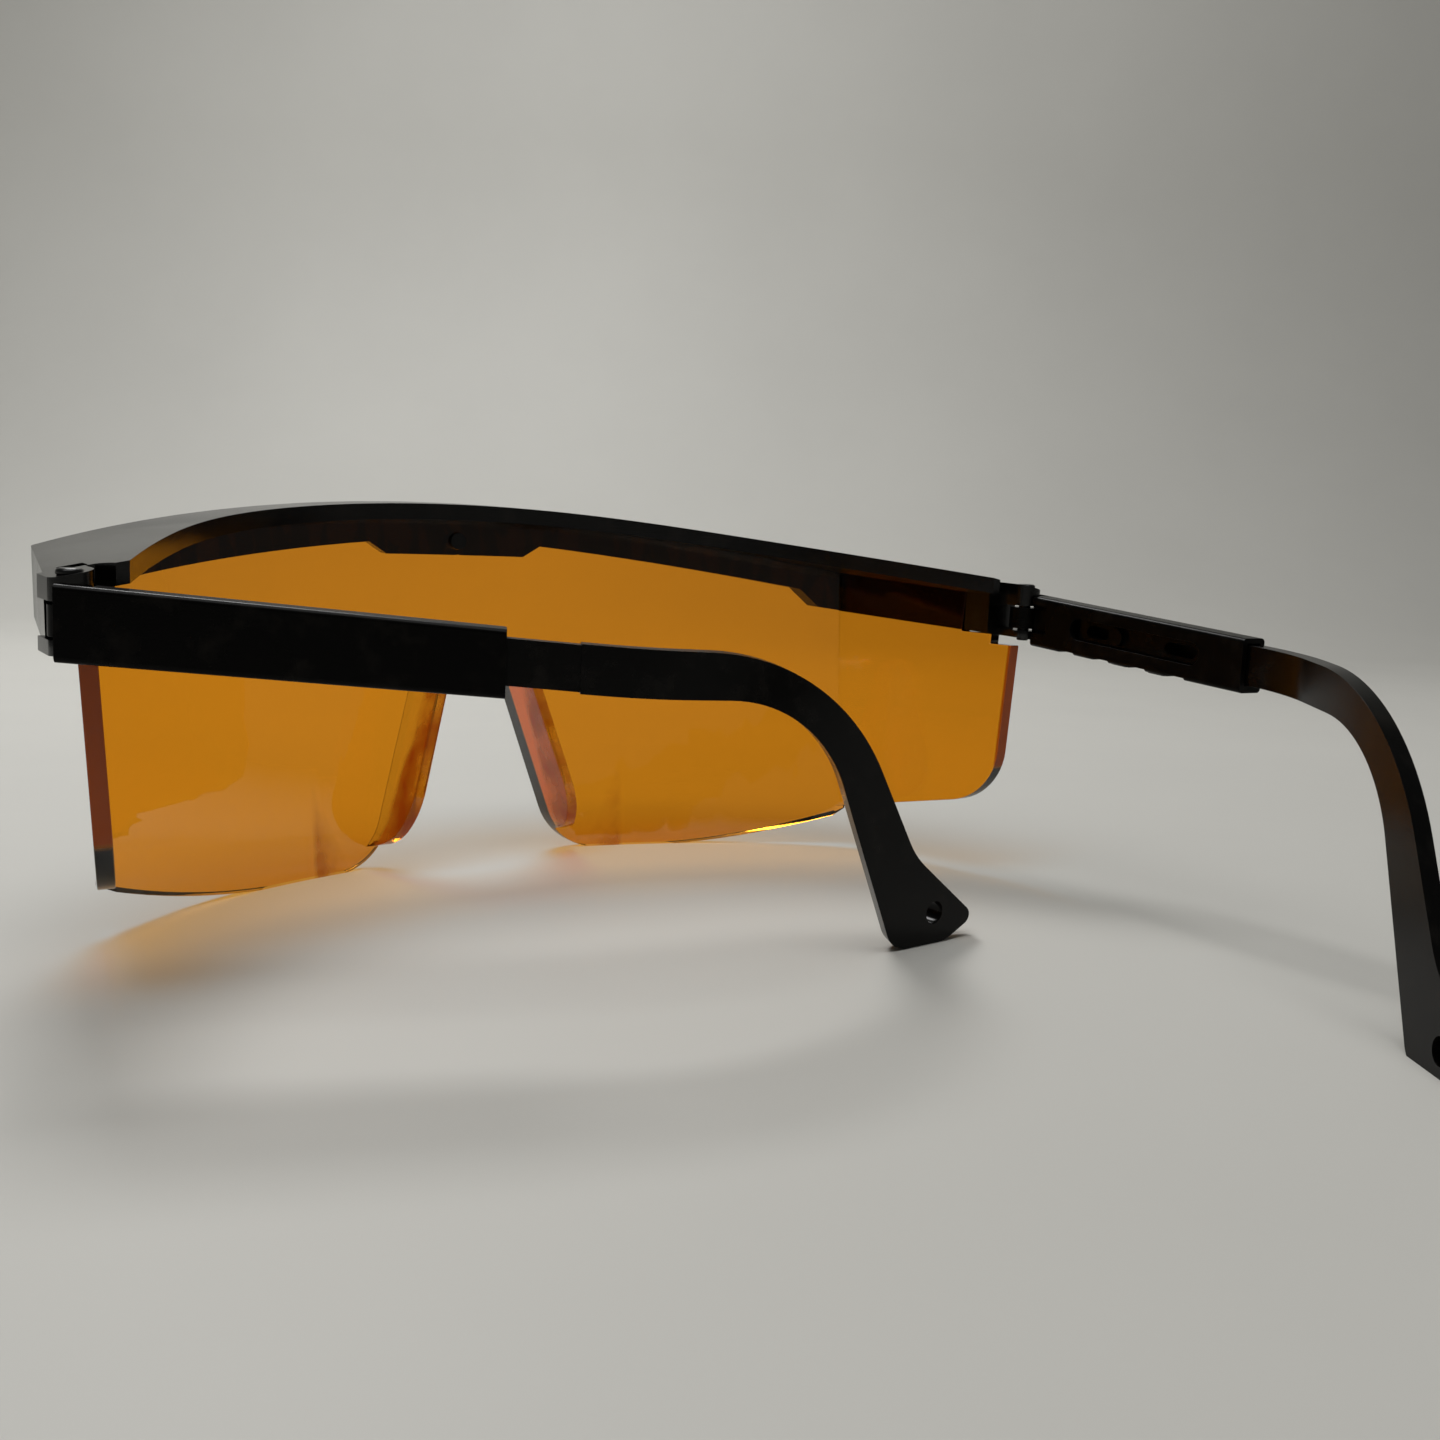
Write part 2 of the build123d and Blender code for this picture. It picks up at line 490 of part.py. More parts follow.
def temple_arm():
    """The left ear piece, open, at the shortest setting."""
    middle, line = bow_line()
    path = Pos(PIN_X, 0, 0) * FilletPolyline(*line, radius=BOW_RADIUS)
    plan = make_face(offset(path, amount=EAR_THICKNESS / 2, kind=Kind.INTERSECTION))
    band = Pos(0, 0, -FAR / 2) * extrude(plan, amount=FAR)
    profile = Plane.YZ * make_face(ear_outline())
    shape = Pos(-FAR / 2, 0, 0) * extrude(profile, amount=FAR + PIN_X)
    front_end = Pos(0, EAR_START, 0) * Box(FAR, FAR, FAR, align=(Align.CENTER, Align.MIN, Align.CENTER))
    ear = band & shape & front_end
    half = BAR_THICKNESS / 2
    bar = along(NIB_FIRST - BAR_NOSE, EAR_START + OVERRUN, BAR_HEIGHT, middle - half, middle + half,
                CHANNEL_LIFT)
    for start, length in TONGUE_SLOTS:
        back = NIB_FIRST + start + length / 2
        bar -= Pos(PIN_X + middle, back, bar_z(back)) * Rot(-TEMPLE_SLOPE, 0, 0) * extrude(
            Plane.YZ * SlotOverall(length, TONGUE_SLOT_HEIGHT), amount=BAR_THICKNESS, both=True)
    nib = Pos(PIN_X + middle - half + NIB_BITE, NIB_FIRST, bar_z(NIB_FIRST)) * Rot(0, -90, 0) * Cylinder(
        NIB_RADIUS, NIB_PROUD + NIB_BITE, align=(Align.CENTER, Align.CENTER, Align.MIN))
    point, across = bow_point(LANYARD_HOLE[0])
    hole = Plane(origin=(point.X, point.Y, LANYARD_HOLE[1]), z_dir=across) * Cylinder(
        LANYARD_RADIUS, 4 * EAR_THICKNESS)
    return bar + nib + ear - hole


def at_rest(part, fold, setting=0):
    """A left-hand temple part, slid to its setting and folded in about its pin."""
    run = setting * CLICK
    slid = Pos(0, run * cos(atan(FALL)), -run * sin(atan(FALL))) * part
    return Pos(PIN_X, 0, 0) * Rot(0, 0, fold) * Pos(-PIN_X, 0, 0) * slid


def saddle():
    """The origin: the nose arch's top, half-way back along its flange."""
    return Vector(0, lens_front_y(ARCH_HEIGHT) + (LENS_THICKNESS + FLANGE_TOP_DEPTH) / 2, ARCH_HEIGHT)


def build():
    lens_solid = lens()
    sleeve = temple_sleeve()
    arm = temple_arm()
    nodes = {
        "lens": lens_solid,
        "brow_frame": brow_frame(lens_solid),
        "hinge_pin_left": hinge_pin(1),
        "hinge_pin_right": hinge_pin(-1),
        "temple_sleeve_left": at_rest(sleeve, LEFT_FOLD),
        "temple_sleeve_right": mirror(at_rest(sleeve, RIGHT_FOLD), Plane.YZ),
        "temple_arm_left": at_rest(arm, LEFT_FOLD, LEFT_SETTING),
        "temple_arm_right": mirror(at_rest(arm, RIGHT_FOLD, RIGHT_SETTING), Plane.YZ),
    }
    home = saddle()
    return {name: Pos(-home.X, -home.Y, -home.Z) * solid for name, solid in nodes.items()}


os.makedirs("parts", exist_ok=True)
for name, solid in build().items():
    export_step(solid, f"parts/{name}.step")
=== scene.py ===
"""Safety glasses with an amber wraparound lens, a black brow frame and folding, sliding temples."""

import json
from math import cos, pi, radians, sin

import bmesh
import bpy
from bpy.props import FloatProperty, FloatVectorProperty, IntProperty, PointerProperty
from mathutils import Matrix, Vector


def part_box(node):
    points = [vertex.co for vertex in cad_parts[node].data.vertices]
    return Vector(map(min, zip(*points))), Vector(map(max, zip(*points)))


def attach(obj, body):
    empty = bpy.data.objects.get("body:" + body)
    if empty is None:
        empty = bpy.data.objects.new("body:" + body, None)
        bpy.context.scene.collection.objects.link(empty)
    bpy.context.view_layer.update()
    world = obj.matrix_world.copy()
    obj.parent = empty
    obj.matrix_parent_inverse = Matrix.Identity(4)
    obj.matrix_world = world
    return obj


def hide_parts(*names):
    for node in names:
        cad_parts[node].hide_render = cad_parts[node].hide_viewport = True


bl_info = {
    "name": "Safety Glasses",
    "version": (1, 0, 0),
    "blender": (4, 5, 0),
    "location": "View3D > Sidebar > Glasses",
    "description": "Builds a pair of amber safety glasses piece by piece round its solid frame",
    "category": "Object",
}

MM = 0.001

MERGE = 0.002 * MM         # corners closer than this are one
FLAT = radians(0.6)        # faces that turn by less than this are made one
ROUND_FROM = radians(32)   # edges sharper than this are rounded
SHARP_FROM = radians(40)   # edges sharper than this stay sharp in the shading
FLANGE_SIDE = 26.0 * MM    # the nose flanges lie within this distance of the middle
FLANGE_START = 4.0 * MM    # and behind this depth
RIM = 0.25 * MM            # depth of the rim on the side shields' rear edges
RIB_OUT = 0.5 * MM         # middle of a rib, outwards of the pin
RIB_DROP = 3.62 * MM       # from the middle of the sleeve down to the middle of a rib
FOOT_SETBACK = 8.0 * MM    # the lens's foot stands this far behind the front of the brow
DUST = (260.0, 0.52, 0.78)         # scale of the specks of dust, and the noise they start and end at
FLOW = (45.0, 0.3, 0.7, 2.0)       # the same for the plastic's flow marks, and their detail
FLOW_DEPTH = 0.08                  # how much rougher the flow marks are
BLACK_IOR = 1.53

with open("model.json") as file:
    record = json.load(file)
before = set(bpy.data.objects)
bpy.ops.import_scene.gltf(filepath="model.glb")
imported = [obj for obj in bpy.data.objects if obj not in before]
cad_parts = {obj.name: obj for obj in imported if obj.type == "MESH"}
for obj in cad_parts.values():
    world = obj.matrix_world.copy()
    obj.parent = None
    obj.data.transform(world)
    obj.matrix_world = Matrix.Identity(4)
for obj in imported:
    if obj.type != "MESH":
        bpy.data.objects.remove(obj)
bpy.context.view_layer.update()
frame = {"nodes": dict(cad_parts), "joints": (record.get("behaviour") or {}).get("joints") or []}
JOINTS = {joint["name"]: joint for joint in frame["joints"]}
SIDES = ("left", "right")


# ---- settings ----


class FrameSettings(bpy.types.PropertyGroup):
    """Sizes and colours of the black parts."""

    edge_radius: FloatProperty(
        name="Edge radius",
        description="Rounding of the brow frame's moulded edges",
        default=0.32 * MM,
        min=0.0,
        subtype="DISTANCE",
        unit="LENGTH",
    )
    temple_edge: FloatProperty(
        name="Temple edge radius",
        description="Rounding of the sleeves and ear pieces",
        default=0.3 * MM,
        min=0.0,
        subtype="DISTANCE",
        unit="LENGTH",
    )
    pin_edge: FloatProperty(
        name="Pin edge radius",
        description="Rounding of the hinge pin's ends",
        default=0.18 * MM,
        min=0.0,
        subtype="DISTANCE",
        unit="LENGTH",
    )
    black: FloatVectorProperty(
        name="Black",
        description="Colour of the moulded black plastic",
        subtype="COLOR",
        size=4,
        min=0.0,
        max=1.0,
        default=(0.0018, 0.0016, 0.0014, 1.0),
    )
    worn: FloatVectorProperty(
        name="Worn black",
        description="Colour where the plastic is rubbed or dusty",
        subtype="COLOR",
        size=4,
        min=0.0,
        max=1.0,
        default=(0.010, 0.0085, 0.007, 1.0),
    )


class RibSettings(bpy.types.PropertyGroup):
    """The small lands along the lower edge of each sleeve."""

    count: IntProperty(name="Ribs", description="Ribs on each sleeve", default=3, min=1)
    pitch: FloatProperty(
        name="Pitch",
        description="Distance between two ribs, one length setting",
        default=7.2 * MM,
        min=0.0,
        subtype="DISTANCE",
        unit="LENGTH",
    )
    first: FloatProperty(
        name="First rib",
        description="Middle of the first rib, behind the hinge pin",
        default=13.9 * MM,
        min=0.0,
        subtype="DISTANCE",
        unit="LENGTH",
    )
    size: FloatVectorProperty(
        name="Rib size",
        description="Width, length and height of one rib",
        subtype="XYZ",
        unit="LENGTH",
        size=3,
        default=(1.5 * MM, 3.0 * MM, 0.7 * MM),
    )


class LensSettings(bpy.types.PropertyGroup):
    """The amber lens."""

    edge_radius: FloatProperty(
        name="Edge radius",
        description="Rounding of the lens's polished edges",
        default=0.3 * MM,
        min=0.0,
        subtype="DISTANCE",
        unit="LENGTH",
    )
    amber: FloatVectorProperty(
        name="Amber",
        description="Colour that the dye lets through",
        subtype="COLOR",
        size=4,
        min=0.0,
        max=1.0,
        default=(0.89, 0.33, 0.015, 1.0),
    )
    # Painted glow: this colour is also used on the shields' rear rims.
    glow: FloatVectorProperty(
        name="Flange colour",
        description="Colour of the nose flanges, where light gathers in the plastic",
        subtype="COLOR",
        size=4,
        min=0.0,
        max=1.0,
        default=(0.50, 0.085, 0.004, 1.0),
    )
    shade: FloatVectorProperty(
        name="Cast light",
        description="Colour of the light that one face of the lens lets through",
        subtype="COLOR",
        size=4,
        min=0.0,
        max=1.0,
        default=(0.92, 0.66, 0.27, 1.0),
    )
    refraction: FloatProperty(
        name="Index of refraction",
        description="Polycarbonate bends light by this much",
        default=1.58,
        min=1.0,
    )


class StageSettings(bpy.types.PropertyGroup):
    """Floor, lights and camera."""

    focal_length: FloatProperty(
        name="Focal length",
        description="Camera lens on a sensor 36 mm wide, in millimetres",
        default=36.25,
        min=1.0,
    )
    eye: FloatVectorProperty(
        name="Camera",
        description="Where the camera stands",
        subtype="XYZ",
        unit="LENGTH",
        size=3,
        default=(103.6 * MM, 206.78 * MM, 23.0 * MM),
    )
    turn: FloatVectorProperty(
        name="Camera turn",
        description="Heading, pitch and roll of the camera",
        subtype="EULER",
        unit="ROTATION",
        size=3,
        default=(radians(143.5), radians(8.0), radians(2.8)),
    )
    paper: FloatVectorProperty(
        name="Paper",
        description="Colour of the sheet that the glasses stand on",
        subtype="COLOR",
        size=4,
        min=0.0,
        max=1.0,
        default=(0.60, 0.59, 0.55, 1.0),
    )
    key: FloatProperty(
        name="Key light",
        description="Power of the soft light beyond the glasses",
        default=4.1,
        min=0.0,
        subtype="POWER",
        unit="POWER",
    )
    wash: FloatProperty(
        name="Backdrop light",
        description="Power of the soft light on the backdrop",
        default=6.2,
        min=0.0,
        subtype="POWER",
        unit="POWER",
    )
    fill: FloatProperty(
        name="Fill light",
        description="Strength of the room's even light",
        default=0.07,
        min=0.0,
    )


# ---- mesh helpers ----


def merged_copy(node, name):
    """A copy of a solid's mesh with its loose triangles joined and its flat faces made whole."""
    mesh = frame["nodes"][node].data.copy()
    mesh.name = name
    mesh.materials.clear()
    work = bmesh.new()
    work.from_mesh(mesh)
    bmesh.ops.remove_doubles(work, verts=work.verts, dist=MERGE)
    bmesh.ops.dissolve_limit(work, angle_limit=FLAT, verts=work.verts, edges=work.edges)
    work.to_mesh(mesh)
    work.free()
    piece = bpy.data.objects.new(name, mesh)
    bpy.context.scene.collection.objects.link(piece)
    return piece


def rounded(piece, radius, steps=3):
    """Rounds a piece's edges, shades its large faces evenly and makes the result its own mesh."""
    bevel = piece.modifiers.new("Rounding", "BEVEL")
    bevel.width = radius
    bevel.segments = steps
    bevel.limit_method = "ANGLE"
    bevel.angle_limit = ROUND_FROM
    bevel.use_clamp_overlap = True
    bevel.harden_normals = False
    settle(piece)
    piece.data.polygons.foreach_set("use_smooth", [True] * len(piece.data.polygons))
    piece.data.set_sharp_from_angle(angle=SHARP_FROM)
    even = piece.modifiers.new("Even shading", "WEIGHTED_NORMAL")
    even.mode = "FACE_AREA"
    even.keep_sharp = True
    settle(piece)
    return piece


def settle(piece):
    """Turns a piece's modifiers into its own mesh and takes them off."""
    view = bpy.context.evaluated_depsgraph_get()
    view.update()
    mesh = bpy.data.meshes.new_from_object(piece.evaluated_get(view))
    piece.modifiers.clear()
    piece.data = mesh


def dress(piece, material, body, slot, *nodes):
    """Gives a finished piece its material and body and hides the solids that it stands for; the slot is not
    used.
    """
    piece.data.materials.clear()
    piece.data.materials.append(material)
    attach(piece, body)
    if nodes:
        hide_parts(*nodes)


# ---- materials ----


def node(tree, kind, **values):
    """A shader node with some of its inputs set."""
    made = tree.nodes.new(kind)
    for name, value in values.items():
        made.inputs[name.replace("_", " ")].default_value = value
    return made


def spots(tree, place, scale, low, high, detail=4.0):
    """Noise in the piece's own coordinates, cut to a soft mask."""
    noise = node(tree, "ShaderNodeTexNoise", Scale=scale, Detail=detail, Roughness=0.6)
    ramp = tree.nodes.new("ShaderNodeMapRange")
    ramp.inputs["From Min"].default_value = low
    ramp.inputs["From Max"].default_value = high
    tree.links.new(place, noise.inputs["Vector"])
    tree.links.new(noise.outputs["Fac"], ramp.inputs["Value"])
    return ramp.outputs["Result"]


def between(tree, mask, low, high):
    """A value that runs from low to high as a mask runs from 0 to 1."""
    ramp = tree.nodes.new("ShaderNodeMapRange")
    ramp.inputs["To Min"].default_value = low
    ramp.inputs["To Max"].default_value = high
    tree.links.new(mask, ramp.inputs["Value"])
    return ramp.outputs["Result"]


def inside(tree, value, low, high, soft):
    """1 where a value lies between two limits and 0 outside them, with soft ends."""
    ends = []
    for start, end in ((low - soft, low), (high + soft, high)):
        ramp = tree.nodes.new("ShaderNodeMapRange")
        ramp.inputs["From Min"].default_value = start
        ramp.inputs["From Max"].default_value = end
        tree.links.new(value, ramp.inputs["Value"])
        ends.append(ramp.outputs["Result"])
    return product(tree, *ends)


def product(tree, first, second):
    """Two masks multiplied."""
    times = tree.nodes.new("ShaderNodeMath")
    times.operation = "MULTIPLY"
    tree.links.new(first, times.inputs[0])
    tree.links.new(second, times.inputs[1])
    return times.outputs["Value"]


def black_plastic(name, gloss, grain, shine):
    """Moulded black plastic: deep gloss, faint flow marks, dust and fine rubbing."""
    look = bpy.context.scene.glasses_frame
    material = bpy.data.materials.new(name)
    material.use_nodes = True
    tree = material.node_tree
    shader = tree.nodes["Principled BSDF"]
    place = tree.nodes.new("ShaderNodeTexCoord").outputs["Object"]
    dust = spots(tree, place, *DUST)
    flow = spots(tree, place, *FLOW)
    colour = tree.nodes.new("ShaderNodeMix")
    colour.data_type = "RGBA"
    colour.inputs["A"].default_value = look.black
    colour.inputs["B"].default_value = look.worn
    tree.links.new(dust, colour.inputs["Factor"])
    tree.links.new(colour.outputs["Result"], shader.inputs["Base Color"])
    tree.links.new(between(tree, flow, gloss, gloss + FLOW_DEPTH), shader.inputs["Roughness"])
    stretched = node(tree, "ShaderNodeMapping", Scale=(1.0, 1.0, 9.0))
    tree.links.new(place, stretched.inputs["Vector"])
    rubbing = node(tree, "ShaderNodeTexNoise", Scale=700.0, Detail=3.0, Roughness=0.7)
    tree.links.new(stretched.outputs["Vector"], rubbing.inputs["Vector"])
    bump = node(tree, "ShaderNodeBump", Strength=grain, Distance=0.02 * MM)
    tree.links.new(rubbing.outputs["Fac"], bump.inputs["Height"])
    tree.links.new(bump.outputs["Normal"], shader.inputs["Normal"])
    shader.inputs["IOR"].default_value = BLACK_IOR
    shader.inputs["Specular IOR Level"].default_value = shine
    return material


def amber_polycarbonate(name):
    """Clear amber plastic, with a painted glow in the nose flanges and on the shields' rear rims: darker,
    redder and less clear colour where light gathers in the thick plastic.
    """
    look = bpy.context.scene.glasses_lens
    material = bpy.data.materials.new(name)
    material.use_nodes = True
    tree = material.node_tree
    shader = tree.nodes["Principled BSDF"]
    shader.inputs["IOR"].default_value = look.refraction
    shader.inputs["Specular IOR Level"].default_value = 0.2
    place = tree.nodes.new("ShaderNodeTexCoord").outputs["Object"]
    apart = tree.nodes.new("ShaderNodeSeparateXYZ")
    tree.links.new(place, apart.inputs["Vector"])
    # Painted glow: the colour runs to the flange colour and less light passes, in streaks in the nose
    # flanges and on the shields' rear rims. It stands in for light gathered in the plastic.
    flange = product(
        tree,
        inside(tree, apart.outputs["X"], -FLANGE_SIDE, FLANGE_SIDE, 1.0 * MM),
        inside(tree, apart.outputs["Y"], FLANGE_START, 4 * FLANGE_START, 1.5 * MM),
    )
    shield = inside(tree, apart.outputs["Y"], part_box("lens")[1].y - RIM, 1.0, RIM)
    streaks = spots(tree, place, 170.0, 0.35, 0.65, 2.0)
    painted_glow = tree.nodes.new("ShaderNodeMath")
    painted_glow.operation = "MAXIMUM"
    tree.links.new(product(tree, flange, between(tree, streaks, 0.25, 1.0)), painted_glow.inputs[0])
    tree.links.new(shield, painted_glow.inputs[1])
    colour = tree.nodes.new("ShaderNodeMix")
    colour.data_type = "RGBA"
    colour.inputs["A"].default_value = look.amber
    colour.inputs["B"].default_value = look.glow
    tree.links.new(painted_glow.outputs["Value"], colour.inputs["Factor"])
    tree.links.new(colour.outputs["Result"], shader.inputs["Base Color"])
    tree.links.new(between(tree, painted_glow.outputs["Value"], 1.0, 0.25), shader.inputs["Transmission Weight"])
    smears = spots(tree, place, 60.0, 0.55, 0.85, 6.0)
    tree.links.new(between(tree, smears, 0.015, 0.07), shader.inputs["Roughness"])
    ripple = node(tree, "ShaderNodeTexNoise", Scale=90.0, Detail=1.0, Roughness=0.4)
    tree.links.new(place, ripple.inputs["Vector"])
    bump = node(tree, "ShaderNodeBump", Strength=0.04, Distance=0.03 * MM)
    tree.links.new(ripple.outputs["Fac"], bump.inputs["Height"])
    tree.links.new(bump.outputs["Normal"], shader.inputs["Normal"])
    output = tree.nodes["Material Output"]
    clear = tree.nodes.new("ShaderNodeBsdfTransparent")
    clear.inputs["Color"].default_value = look.shade
    ray = tree.nodes.new("ShaderNodeLightPath")
    either = tree.nodes.new("ShaderNodeMath")
    either.operation = "MAXIMUM"
    tree.links.new(ray.outputs["Is Shadow Ray"], either.inputs[0])
    tree.links.new(ray.outputs["Is Diffuse Ray"], either.inputs[1])
    mixed = tree.nodes.new("ShaderNodeMixShader")
    tree.links.new(either.outputs["Value"], mixed.inputs["Fac"])
    tree.links.new(shader.outputs["BSDF"], mixed.inputs[1])
    tree.links.new(clear.outputs["BSDF"], mixed.inputs[2])
    tree.links.new(mixed.outputs["Shader"], output.inputs["Surface"])
    return material


def paper(name):
    """Matt paper with a faint cloudiness."""
    look = bpy.context.scene.glasses_stage
    material = bpy.data.materials.new(name)
    material.use_nodes = True
    tree = material.node_tree
    shader = tree.nodes["Principled BSDF"]
    place = tree.nodes.new("ShaderNodeTexCoord").outputs["Object"]
    cloud = spots(tree, place, 6.0, 0.3, 0.7)
    colour = tree.nodes.new("ShaderNodeMix")
    colour.data_type = "RGBA"
    colour.inputs["A"].default_value = look.paper
    colour.inputs["B"].default_value = [0.95 * part for part in look.paper[:3]] + [1.0]
    tree.links.new(cloud, colour.inputs["Factor"])
    tree.links.new(colour.outputs["Result"], shader.inputs["Base Color"])
    shader.inputs["Roughness"].default_value = 0.6
    return material


# ---- ribs, a repeated detail made with nodes ----


def rib_tree(material):
    """A row of rounded ribs: a line of points, a softened block on each, made real."""
    tree = bpy.data.node_groups.new("Sleeve ribs", "GeometryNodeTree")
    face = tree.interface
    count = face.new_socket("Count", in_out="INPUT", socket_type="NodeSocketInt")
    first = face.new_socket("First", in_out="INPUT", socket_type="NodeSocketVector")
    step = face.new_socket("Step", in_out="INPUT", socket_type="NodeSocketVector")
    size = face.new_socket("Size", in_out="INPUT", socket_type="NodeSocketVector")
    turn = face.new_socket("Turn", in_out="INPUT", socket_type="NodeSocketVector")
    face.new_socket("Geometry", in_out="OUTPUT", socket_type="NodeSocketGeometry")
    given = tree.nodes.new("NodeGroupInput")
    result = tree.nodes.new("NodeGroupOutput")
    line = tree.nodes.new("GeometryNodeMeshLine")
    block = tree.nodes.new("GeometryNodeMeshCube")
    soft = tree.nodes.new("GeometryNodeSubdivisionSurface")
    soft.inputs["Level"].default_value = 3
    soft.inputs["Edge Crease"].default_value = 0.55
    smooth = tree.nodes.new("GeometryNodeSetShadeSmooth")
    place = tree.nodes.new("GeometryNodeInstanceOnPoints")
    real = tree.nodes.new("GeometryNodeRealizeInstances")
    paint = tree.nodes.new("GeometryNodeSetMaterial")
    paint.inputs["Material"].default_value = material
    link = tree.links.new
    link(given.outputs["Count"], line.inputs["Count"])
    link(given.outputs["First"], line.inputs["Start Location"])
    link(given.outputs["Step"], line.inputs["Offset"])
    link(given.outputs["Size"], block.inputs["Size"])
    link(block.outputs["Mesh"], soft.inputs["Mesh"])
    link(soft.outputs["Mesh"], smooth.inputs["Geometry"])
    link(line.outputs["Mesh"], place.inputs["Points"])
    link(smooth.outputs["Geometry"], place.inputs["Instance"])
    link(given.outputs["Turn"], place.inputs["Rotation"])
    link(place.outputs["Instances"], real.inputs["Geometry"])
    link(real.outputs["Geometry"], paint.inputs["Geometry"])
    link(paint.outputs["Geometry"], result.inputs["Geometry"])
    return tree, {"count": count, "first": first, "step": step, "size": size, "turn": turn}


def temple_axes(side):
    """A temple's pin, its direction back along the sleeve, and the way out of its outer face."""
    pin = Vector(JOINTS[side + "_temple_fold"]["pos_m"])
    back = Vector(JOINTS[side + "_arm_slide"]["axis"])
    level = Vector((back.x, back.y, 0.0)).normalized()
    out = Vector((level.y, -level.x, 0.0)) if side == "left" else Vector((-level.y, level.x, 0.0))
    return pin, back, out


# ---- operators ----


class GLASSES_OT_brow(bpy.types.Operator):
    """Build the brow frame and the two hinge pins in it"""

    bl_idname = "glasses.brow"
    bl_label = "Brow frame"

    def execute(self, context):
        look = context.scene.glasses_frame
        brow = rounded(merged_copy("brow_frame", "brow_frame_shell"), look.edge_radius)
        dress(brow, black_plastic("Brow plastic", 0.16, 0.35, 0.4), "front", "frame_black", "brow_frame")
        pins = black_plastic("Pin plastic", 0.26, 0.5, 0.4)
        for side in SIDES:
            pin = rounded(merged_copy("hinge_pin_" + side, "pin_" + side), look.pin_edge)
            dress(pin, pins, "front", "pin_black", "hinge_pin_" + side)
        return {"FINISHED"}


class GLASSES_OT_lens(bpy.types.Operator):
    """Build the wraparound lens with its side shields and nose flanges"""

    bl_idname = "glasses.lens"
    bl_label = "Lens"

    def execute(self, context):
        look = context.scene.glasses_lens
        lens = rounded(merged_copy("lens", "lens_shell"), look.edge_radius, 2)
        dress(lens, amber_polycarbonate("Amber polycarbonate"), "front", "lens", "lens")
        return {"FINISHED"}


class GLASSES_OT_sleeves(bpy.types.Operator):
    """Build the two temple sleeves that fold on the hinge pins"""

    bl_idname = "glasses.sleeves"
    bl_label = "Temple sleeves"

    def execute(self, context):
        look = context.scene.glasses_frame
        material = black_plastic("Sleeve plastic", 0.24, 0.4, 0.06)
        for side in SIDES:
            name = "temple_sleeve_" + side
            sleeve = rounded(merged_copy(name, "sleeve_" + side), look.temple_edge / 2)
            dress(sleeve, material, side + "_sleeve", "temple_black", name)
        return {"FINISHED"}


class GLASSES_OT_ribs(bpy.types.Operator):
    """Build the rounded ribs between the notches under each sleeve"""

    bl_idname = "glasses.ribs"
    bl_label = "Sleeve ribs"

    def execute(self, context):
        look = context.scene.glasses_ribs
        material = black_plastic("Rib plastic", 0.24, 0.4, 0.06)
        tree, sockets = rib_tree(material)
        for side in SIDES:
            pin, back, out = temple_axes(side)
            level = pin + look.first * back + RIB_OUT * out
            level.z = pin.z + look.first * back.z - RIB_DROP
            turn = Matrix((out, back, out.cross(back))).transposed().to_euler()
            values = {
                "count": look.count,
                "first": level,
                "step": look.pitch * back,
                "size": Vector(look.size),
                "turn": Vector(turn),
            }
            ribs = bpy.data.objects.new("ribs_" + side, bpy.data.meshes.new("ribs_" + side))
            context.scene.collection.objects.link(ribs)
            row = ribs.modifiers.new("Ribs", "NODES")
            row.node_group = tree
            for name, value in values.items():
                row[sockets[name].identifier] = value
            settle(ribs)
            dress(ribs, material, side + "_sleeve", "temple_black")
        return {"FINISHED"}


class GLASSES_OT_ears(bpy.types.Operator):
    """Build the two ear pieces that slide in the sleeves"""

    bl_idname = "glasses.ears"
    bl_label = "Ear pieces"

    def execute(self, context):
        look = context.scene.glasses_frame
        material = black_plastic("Ear plastic", 0.16, 0.3, 0.1)
        for side in SIDES:
            name = "temple_arm_" + side
            ear = rounded(merged_copy(name, "ear_piece_" + side), look.temple_edge, 4)
            dress(ear, material, side + "_arm", "temple_black", name)
        return {"FINISHED"}


class GLASSES_OT_stage(bpy.types.Operator):
    """Build the paper sweep, the soft lights and the camera"""

    bl_idname = "glasses.stage"
    bl_label = "Stage"

    def execute(self, context):
        look = context.scene.glasses_stage
        paper_sweep(paper("Paper"))
        soft_light("Key", (-0.1, -0.55, 0.75), (0.0, 0.0, 0.0), 0.3, look.key)
        soft_light("Top", (0.1, 0.2, 1.1), (0.0, 0.1, 0.0), 0.9, look.key / 5)
        soft_light("Wash", (0.25, 0.1, 0.95), (0.0, -0.9, 0.3), 0.8, look.wash)
        world = bpy.data.worlds.new("Room")
        world.use_nodes = True
        air = world.node_tree.nodes["Background"]
        air.inputs["Color"].default_value = (0.98, 1.0, 0.97, 1.0)
        air.inputs["Strength"].default_value = look.fill
        context.scene.world = world
        context.scene.view_settings.view_transform = "Standard"
        place_camera(look)
        return {"FINISHED"}


def floor_height(place):
    """Height of the sheet, which runs from the lens's foot to the mean height of the ear pieces' ends."""
    foot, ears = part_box("lens"), [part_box("temple_arm_" + side) for side in SIDES]
    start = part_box("brow_frame")[0].y + FOOT_SETBACK
    tip_y = sum(low.y + high.y for low, high in ears) / 4
    tip_z = sum(low.z for low, high in ears) / 2
    slope = (tip_z - foot[0].z) / (tip_y - start)
    return foot[0].z + slope * (place.y - start)


